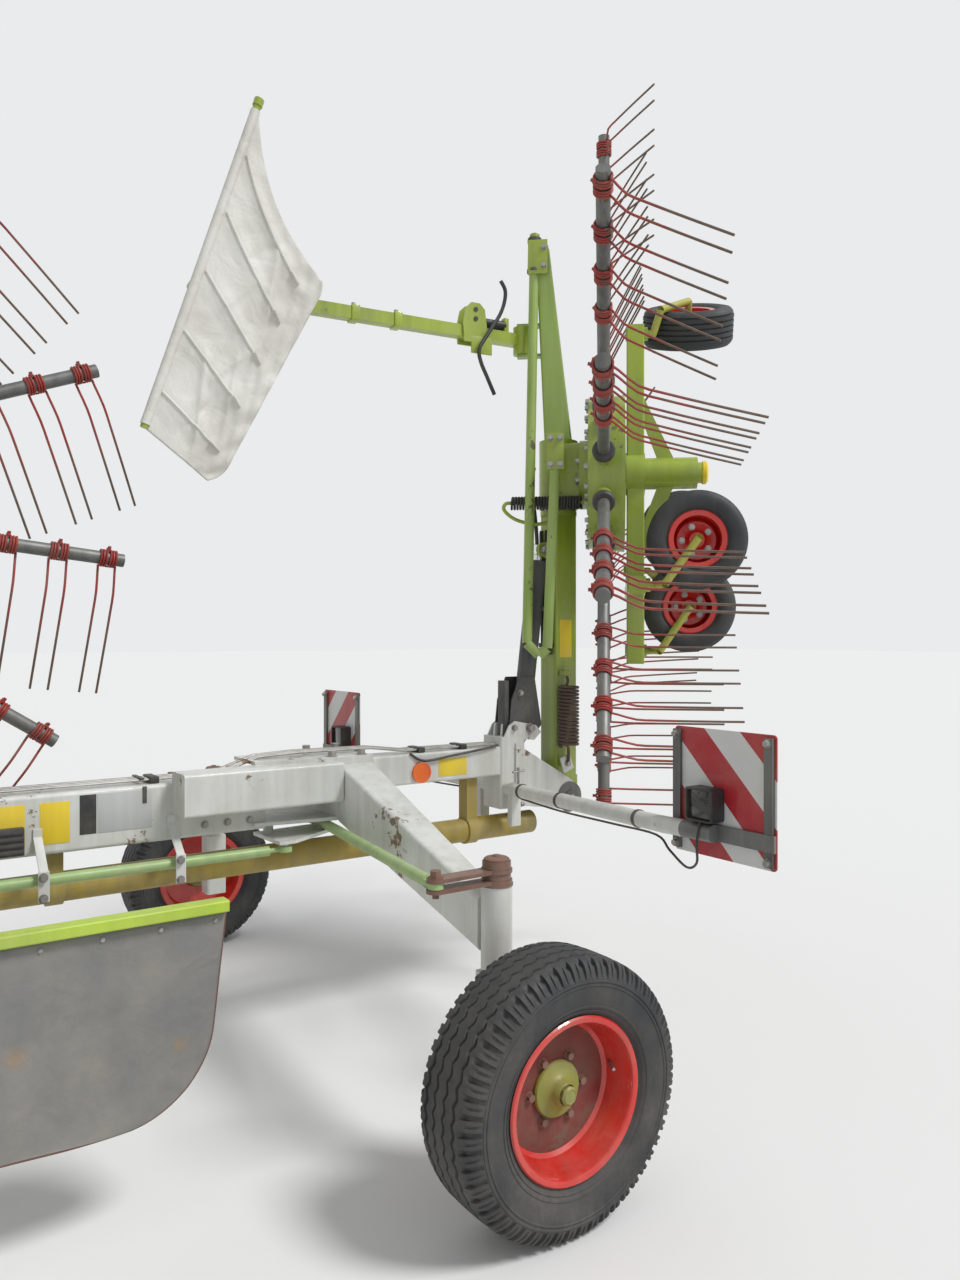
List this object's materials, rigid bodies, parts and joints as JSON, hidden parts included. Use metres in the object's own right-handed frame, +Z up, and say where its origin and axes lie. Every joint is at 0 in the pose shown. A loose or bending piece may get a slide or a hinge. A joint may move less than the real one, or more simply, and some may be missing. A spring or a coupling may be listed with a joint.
{
  "type": "rotor rake",
  "caption": "Folded twin rotor rake with a long beam, steered wheels, lift arms, sprung tines, castor chassis and side curtains.",
  "frame": {"origin": "on the ground under the middle of the machine's bounding box", "axes": "+X forward along the beam, +Y to the machine's left, +Z up"},
  "size_m": [7.7319, 3.0042, 3.7087],
  "materials": {
    "white_paint": "satin off-white paint with dust",
    "olive_guard": "olive yellow guard tube",
    "bare_steel": "bare greased steel",
    "board": "white board with red stripes",
    "black_plastic": "black plastic",
    "reflector": "orange reflector",
    "rod_paint": "light green paint",
    "tyre": "dusty black rubber",
    "red_paint": "gloss red paint",
    "lime_paint": "gloss lime paint",
    "white_canvas": "coated off-white canvas",
    "grey_canvas": "coated grey canvas with stains",
    "dark_paint": "dark grey paint",
    "chrome_rod": "chromed rod",
    "galvanised": "dark galvanised tube",
    "tine_steel": "brown bare spring steel",
    "small_wheel": "black ribbed rubber on a red rim"
  },
  "bodies": {
    "frame": {"main_beam": "white_paint", "axle_legs": "white_paint", "drive_line": "olive_guard", "input_shaft": "bare_steel", "lamp_arms": "white_paint", "warning_boards": "board", "tail_lamps": "black_plastic", "reflectors": "reflector", "front_curtain_bracket": "white_paint"},
    "parking_jack": {"parking_jack": "bare_steel"},
    "headstock": {"headstock": "white_paint"},
    "centre_lever": {"centre_lever": "white_paint"},
    "steering_rod": {"steering_rod": "rod_paint"},
    "tie_rod_left": {"tie_rod_left": "rod_paint"},
    "tie_rod_right": {"tie_rod_right": "rod_paint"},
    "knuckle_left": {"knuckle_left": "white_paint"},
    "knuckle_right": {"knuckle_right": "white_paint"},
    "wheel_left": {"tyre_left": "tyre", "rim_left": "red_paint"},
    "wheel_right": {"tyre_right": "tyre", "rim_right": "red_paint"},
    "rear_lift_arm": {"rear_lift_arm": "lime_paint"},
    "rear_lift_barrel": {"rear_lift_barrel": "dark_paint"},
    "rear_lift_rod": {"rear_lift_rod": "chrome_rod"},
    "rear_head": {"rear_head": "lime_paint", "rear_mast": "lime_paint", "rear_undercarriage": "lime_paint", "rear_castors": "lime_paint"},
    "rear_rotor": {"rear_drum": "lime_paint", "rear_tine_arms": "galvanised", "rear_tines": "tine_steel"},
    "rear_curtain": {"rear_curtain_arm": "lime_paint", "rear_curtain": "white_canvas"},
    "front_lift_arm": {"front_lift_arm": "lime_paint", "front_head": "lime_paint", "front_mast": "lime_paint", "front_undercarriage": "lime_paint", "front_castors": "lime_paint"},
    "front_lift_barrel": {"front_lift_barrel": "dark_paint"},
    "front_lift_rod": {"front_lift_rod": "chrome_rod"},
    "front_rotor": {"front_drum": "lime_paint", "front_tine_arms": "galvanised", "front_tines": "tine_steel"},
    "front_curtain": {"front_curtain_arm": "lime_paint", "front_curtain": "grey_canvas"},
    "rear_wheel_1": {"rear_wheel_1": "small_wheel"},
    "rear_wheel_2": {"rear_wheel_2": "small_wheel"},
    "rear_wheel_3": {"rear_wheel_3": "small_wheel"},
    "rear_wheel_4": {"rear_wheel_4": "small_wheel"},
    "front_wheel_1": {"front_wheel_1": "small_wheel"},
    "front_wheel_2": {"front_wheel_2": "small_wheel"},
    "front_wheel_3": {"front_wheel_3": "small_wheel"},
    "front_wheel_4": {"front_wheel_4": "small_wheel"}
  },
  "joints": [
    {"name": "headstock_swivel", "type": "hinge", "parent": "frame", "child": "headstock", "pos_m": [3.66, 0, 0.835], "axis": [0, 0, 1], "range_deg": [-50, 50]},
    {"name": "lever_turn", "type": "hinge", "parent": "frame", "child": "centre_lever", "pos_m": [-1.09, 0, 0.783], "axis": [0, 0, 1], "range_deg": [-25, 25]},
    {"name": "steering_rod_eye", "type": "hinge", "parent": "centre_lever", "child": "steering_rod", "pos_m": [-1.09, 0.15, 0.763], "axis": [0, 0, 1], "range_deg": [-25, 25]},
    {"name": "tie_rod_left_eye", "type": "hinge", "parent": "centre_lever", "child": "tie_rod_left", "pos_m": [-1.29, 0.03, 0.815], "axis": [0, 0, 1], "range_deg": [-25, 25]},
    {"name": "steer_left", "type": "hinge", "parent": "frame", "child": "knuckle_left", "pos_m": [-1.29, 1.13, 0.695], "axis": [0, 0, 1], "range_deg": [-25, 25]},
    {"name": "wheel_left_spin", "type": "hinge", "parent": "knuckle_left", "child": "wheel_left", "pos_m": [-1.29, 1.375, 0.35], "axis": [0, 1, 0], "continuous": true},
    {"name": "tie_rod_right_eye", "type": "hinge", "parent": "centre_lever", "child": "tie_rod_right", "pos_m": [-1.29, -0.03, 0.815], "axis": [0, 0, 1], "range_deg": [-25, 25]},
    {"name": "steer_right", "type": "hinge", "parent": "frame", "child": "knuckle_right", "pos_m": [-1.29, -1.13, 0.695], "axis": [0, 0, 1], "range_deg": [-25, 25]},
    {"name": "wheel_right_spin", "type": "hinge", "parent": "knuckle_right", "child": "wheel_right", "pos_m": [-1.29, -1.375, 0.35], "axis": [0, 1, 0], "continuous": true},
    {"name": "jack_slide", "type": "slide", "parent": "frame", "child": "parking_jack", "axis": [0, 0, 1], "range_m": [0, 0.4]},
    {"name": "rear_lift", "type": "hinge", "parent": "frame", "child": "rear_lift_arm", "pos_m": [-2.45, 0, 0.805], "axis": [0, -1, 0], "range_deg": [0, 90]},
    {"name": "rear_turn", "type": "hinge", "parent": "rear_lift_arm", "child": "rear_head", "pos_m": [-2.45, 0, 2.215], "axis": [0, 0, 1], "range_deg": [0, 42.5]},
    {"name": "rear_barrel_swing", "type": "hinge", "parent": "frame", "child": "rear_lift_barrel", "pos_m": [-2.24, 0, 1.115], "axis": [0, -1, 0], "range_deg": [0, 92]},
    {"name": "rear_rod_slide", "type": "slide", "parent": "rear_lift_barrel", "child": "rear_lift_rod", "axis": [-0.1296, 0, 0.9916], "range_m": [0, 0.532]},
    {"name": "front_lift", "type": "hinge", "parent": "frame", "child": "front_lift_arm", "pos_m": [0.76, -0.18, 0.815], "axis": [1, 0, 0], "range_deg": [0, 90]},
    {"name": "front_barrel_swing", "type": "hinge", "parent": "frame", "child": "front_lift_barrel", "pos_m": [0.76, 0.03, 1.105], "axis": [1, 0, 0], "range_deg": [0, 92]},
    {"name": "front_rod_slide", "type": "slide", "parent": "front_lift_barrel", "child": "front_lift_rod", "axis": [0, -0.1618, 0.9868], "range_m": [0, 0.51]},
    {"name": "rear_rotor_spin", "type": "hinge", "parent": "rear_head", "child": "rear_rotor", "pos_m": [-2.59746, 0.13512, 2.215], "axis": [0.7373, -0.6756, 0], "continuous": true},
    {"name": "rear_wheel_1_spin", "type": "hinge", "parent": "rear_head", "child": "rear_wheel_1", "pos_m": [-2.69417, 0.58317, 1.895], "axis": [0.6756, 0.7373, 0], "continuous": true},
    {"name": "rear_wheel_2_spin", "type": "hinge", "parent": "rear_head", "child": "rear_wheel_2", "pos_m": [-2.94413, 0.31037, 1.635], "axis": [0.6756, 0.7373, 0], "continuous": true},
    {"name": "rear_wheel_3_spin", "type": "hinge", "parent": "rear_head", "child": "rear_wheel_3", "pos_m": [-3.21099, 0.01915, 2.005], "axis": [0.6123, 0.6682, -0.4226], "continuous": true},
    {"name": "rear_wheel_4_spin", "type": "hinge", "parent": "rear_head", "child": "rear_wheel_4", "pos_m": [-2.97116, 0.28088, 2.898], "axis": [0.2855, 0.3116, 0.9063], "continuous": true},
    {"name": "front_rotor_spin", "type": "hinge", "parent": "front_lift_arm", "child": "front_rotor", "pos_m": [0.76, -0.38, 1.935], "axis": [0, 1, 0], "continuous": true},
    {"name": "front_wheel_1_spin", "type": "hinge", "parent": "front_lift_arm", "child": "front_wheel_1", "pos_m": [1.08, -0.754, 1.67], "axis": [0, 0, -1], "continuous": true},
    {"name": "front_wheel_2_spin", "type": "hinge", "parent": "front_lift_arm", "child": "front_wheel_2", "pos_m": [1.34, -0.754, 2.04], "axis": [0, 0, -1], "continuous": true},
    {"name": "front_wheel_3_spin", "type": "hinge", "parent": "front_lift_arm", "child": "front_wheel_3", "pos_m": [0.97, -0.754, 2.435], "axis": [0.4226, 0, -0.9063], "continuous": true},
    {"name": "front_wheel_4_spin", "type": "hinge", "parent": "front_lift_arm", "child": "front_wheel_4", "pos_m": [0.077, -0.754, 2.08], "axis": [-0.9063, 0, -0.4226], "continuous": true},
    {"name": "rear_curtain_fold", "type": "hinge", "parent": "rear_head", "child": "rear_curtain", "pos_m": [-2.32835, -0.11147, 2.815], "axis": [0, 0, 1], "range_deg": [0, 55]},
    {"name": "front_curtain_fold", "type": "hinge", "parent": "frame", "child": "front_curtain", "pos_m": [0.36, 0.135, 0.92], "axis": [1, 0, 0], "range_deg": [0, 85]}
  ],
  "couplings": [
    {"joint": "lever_turn", "follows": "headstock_swivel", "ratio": 0.5},
    {"joint": "steering_rod_eye", "follows": "headstock_swivel", "ratio": -0.5},
    {"joint": "tie_rod_left_eye", "follows": "headstock_swivel", "ratio": -0.5},
    {"joint": "tie_rod_right_eye", "follows": "headstock_swivel", "ratio": -0.5},
    {"joint": "steer_left", "follows": "headstock_swivel", "ratio": -0.5},
    {"joint": "steer_right", "follows": "headstock_swivel", "ratio": -0.5},
    {"joint": "rear_turn", "follows": "rear_lift", "ratio": 0.47222},
    {"joint": "rear_barrel_swing", "follows": "rear_lift", "ratio": 1.0157},
    {"joint": "rear_rod_slide", "follows": "rear_lift", "m_per_rad": 0.3368},
    {"joint": "front_barrel_swing", "follows": "front_lift", "ratio": 0.9989},
    {"joint": "front_rod_slide", "follows": "front_lift", "m_per_rad": 0.3224}
  ]
}
